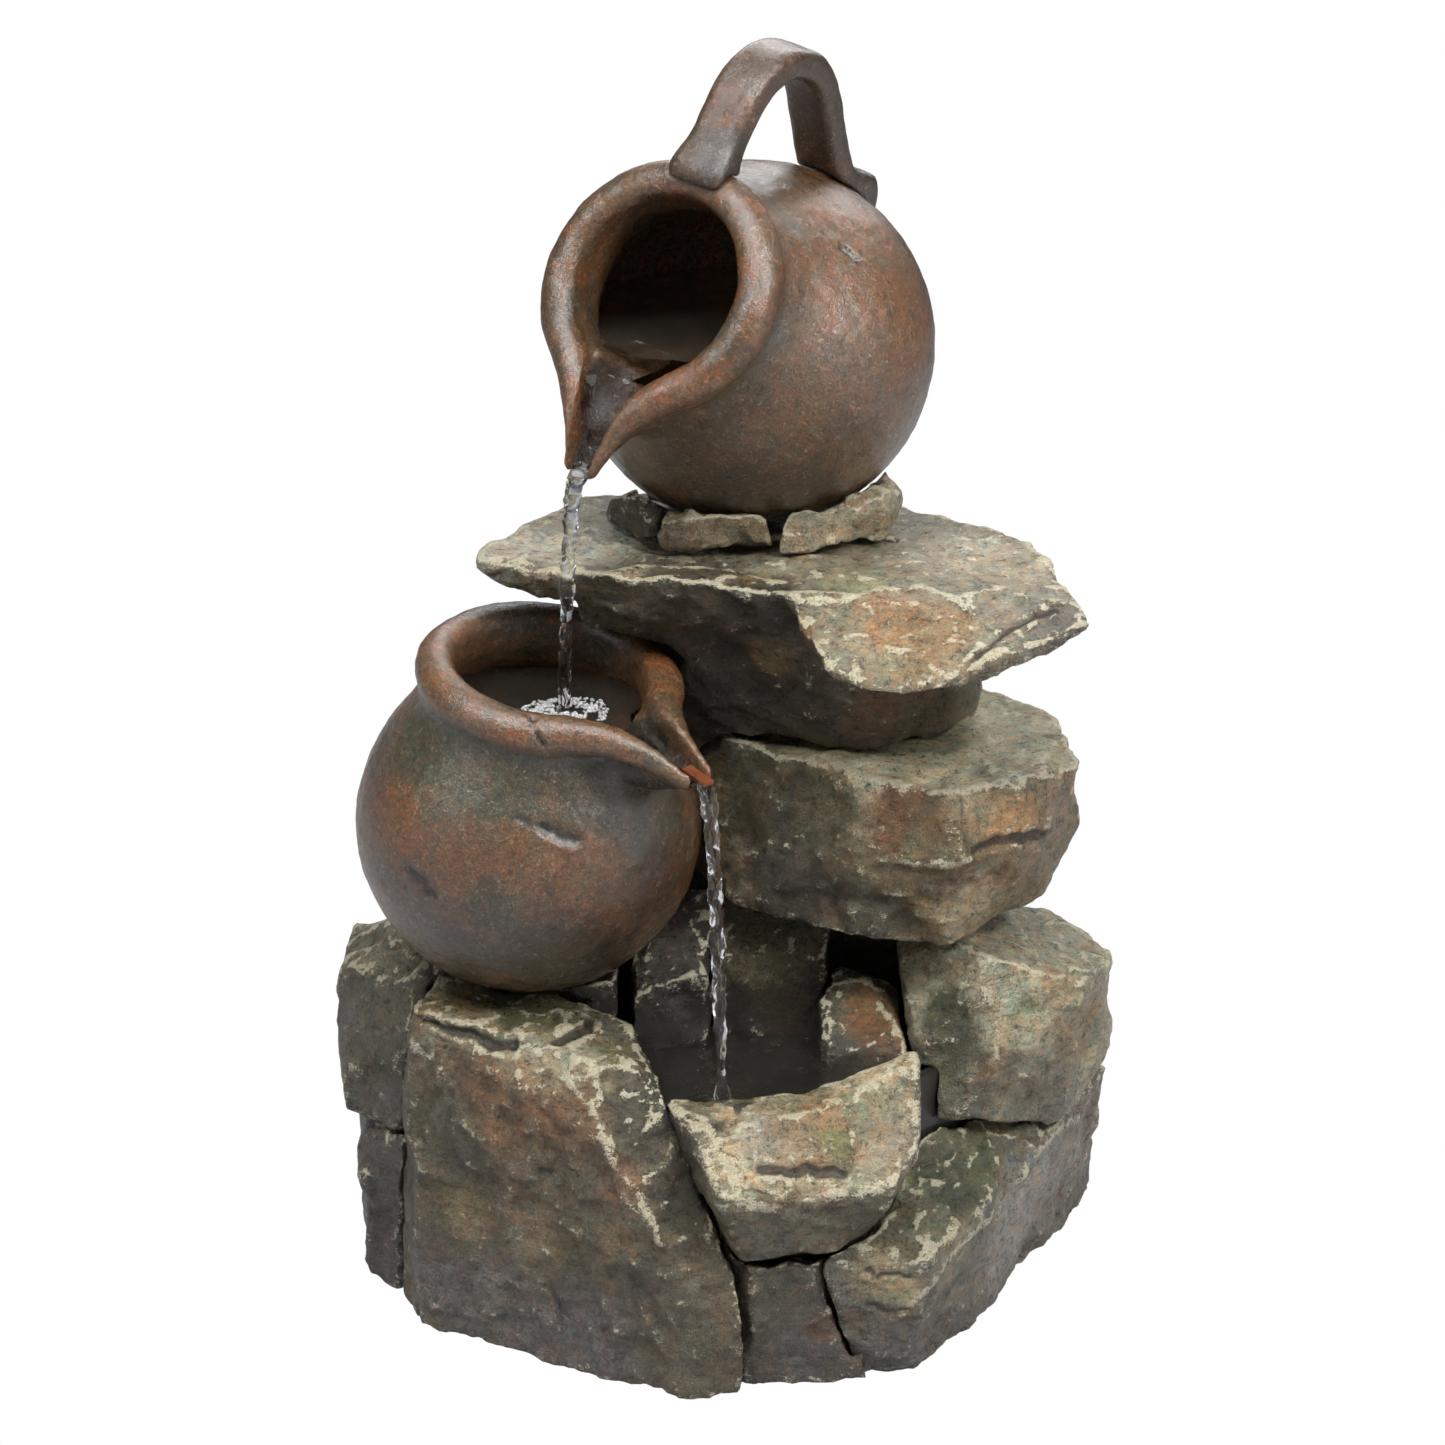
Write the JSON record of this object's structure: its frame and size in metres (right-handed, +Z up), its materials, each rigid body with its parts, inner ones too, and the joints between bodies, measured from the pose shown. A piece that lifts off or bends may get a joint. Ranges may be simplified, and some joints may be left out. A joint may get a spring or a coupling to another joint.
{
  "type": "tabletop water fountain",
  "caption": "Cascading rock fountain: two tilted jugs on stacked stones over a small pool, with a pump, riser hose and rear access door.",
  "frame": {"origin": "middle of the bounding box at the surface the feet stand on", "axes": "+Z up, -Y towards the viewer of the pool, +X to the viewer's right"},
  "size_m": [0.247, 0.1996, 0.3916],
  "materials": {
    "stone_grey": "matte",
    "stone_dark": "matte",
    "stone_tan": "matte",
    "stone_ochre": "matte",
    "jug_bronze": "satin",
    "tongue_orange": "gloss",
    "black_plastic": "satin",
    "tub_plastic": "satin",
    "base_resin": "matte",
    "foot_rubber": "matte",
    "cup_rubber": "satin",
    "housing_resin": "matte",
    "pump_plastic": "satin",
    "screen_plastic": "satin",
    "regulator_plastic": "gloss",
    "stainless_steel": "satin",
    "impeller_plastic": "satin",
    "shaft_ceramic": "polished",
    "bush_rubber": "matte",
    "core_steel": "satin",
    "coil_copper": "satin",
    "hose_plastic": "satin"
  },
  "bodies": {
    "fountain": {"reservoir_tub": "tub_plastic", "base_plate": "base_resin", "rubber_feet": "foot_rubber", "front_left_rock": "stone_grey", "upper_left_rock": "stone_grey", "lower_left_rock": "stone_dark", "spill_lip_rock": "stone_tan", "front_low_rock": "stone_dark", "front_right_rock": "stone_grey", "right_rock": "stone_tan", "pool_middle_rock": "stone_dark", "pool_right_rock": "stone_ochre", "pool_left_rock": "stone_dark", "jug_seat_rock": "stone_dark", "back_left_rock": "stone_dark", "back_right_rock": "stone_dark", "back_middle_rock": "stone_dark", "middle_boulder": "stone_grey", "column_rock": "stone_dark", "neck_rock": "stone_dark", "top_slab": "stone_grey", "collar_stone_left": "stone_tan", "collar_stone_front": "stone_tan", "collar_stone_right": "stone_tan", "collar_stone_back": "stone_tan", "upper_jug": "jug_bronze", "upper_handle": "jug_bronze", "lower_jug": "jug_bronze", "pouring_tongue": "tongue_orange", "jug_inlet": "black_plastic", "rear_housing": "housing_resin", "cord_grommet": "foot_rubber", "pump_body": "pump_plastic", "pump_volute": "pump_plastic", "volute_screws": "stainless_steel", "impeller_shaft": "shaft_ceramic", "front_bush": "bush_rubber", "rear_bush": "bush_rubber", "stator_core": "core_steel", "stator_coil": "coil_copper", "outlet_nozzle": "black_plastic", "suction_cups": "cup_rubber", "riser_hose": "hose_plastic", "hose_clip": "stainless_steel"},
    "regulator": {"flow_regulator": "regulator_plastic"},
    "rotor": {"impeller": "impeller_plastic"},
    "screen": {"intake_screen": "screen_plastic"},
    "door": {"access_door": "housing_resin"}
  },
  "joints": [
    {"name": "impeller_spin", "type": "hinge", "parent": "fountain", "child": "rotor", "pos_m": [0.009, 0.0485, 0.042], "axis": [0, 1, 0], "continuous": true},
    {"name": "regulator_slide", "type": "slide", "parent": "fountain", "child": "regulator", "axis": [1, 0, 0], "range_m": [0, 0.009]},
    {"name": "screen_pull", "type": "slide", "parent": "fountain", "child": "screen", "axis": [0, -1, 0], "range_m": [0, 0.01]},
    {"name": "access_door_pull", "type": "slide", "parent": "fountain", "child": "door", "axis": [0, 1, 0], "range_m": [0, 0.03]}
  ]
}
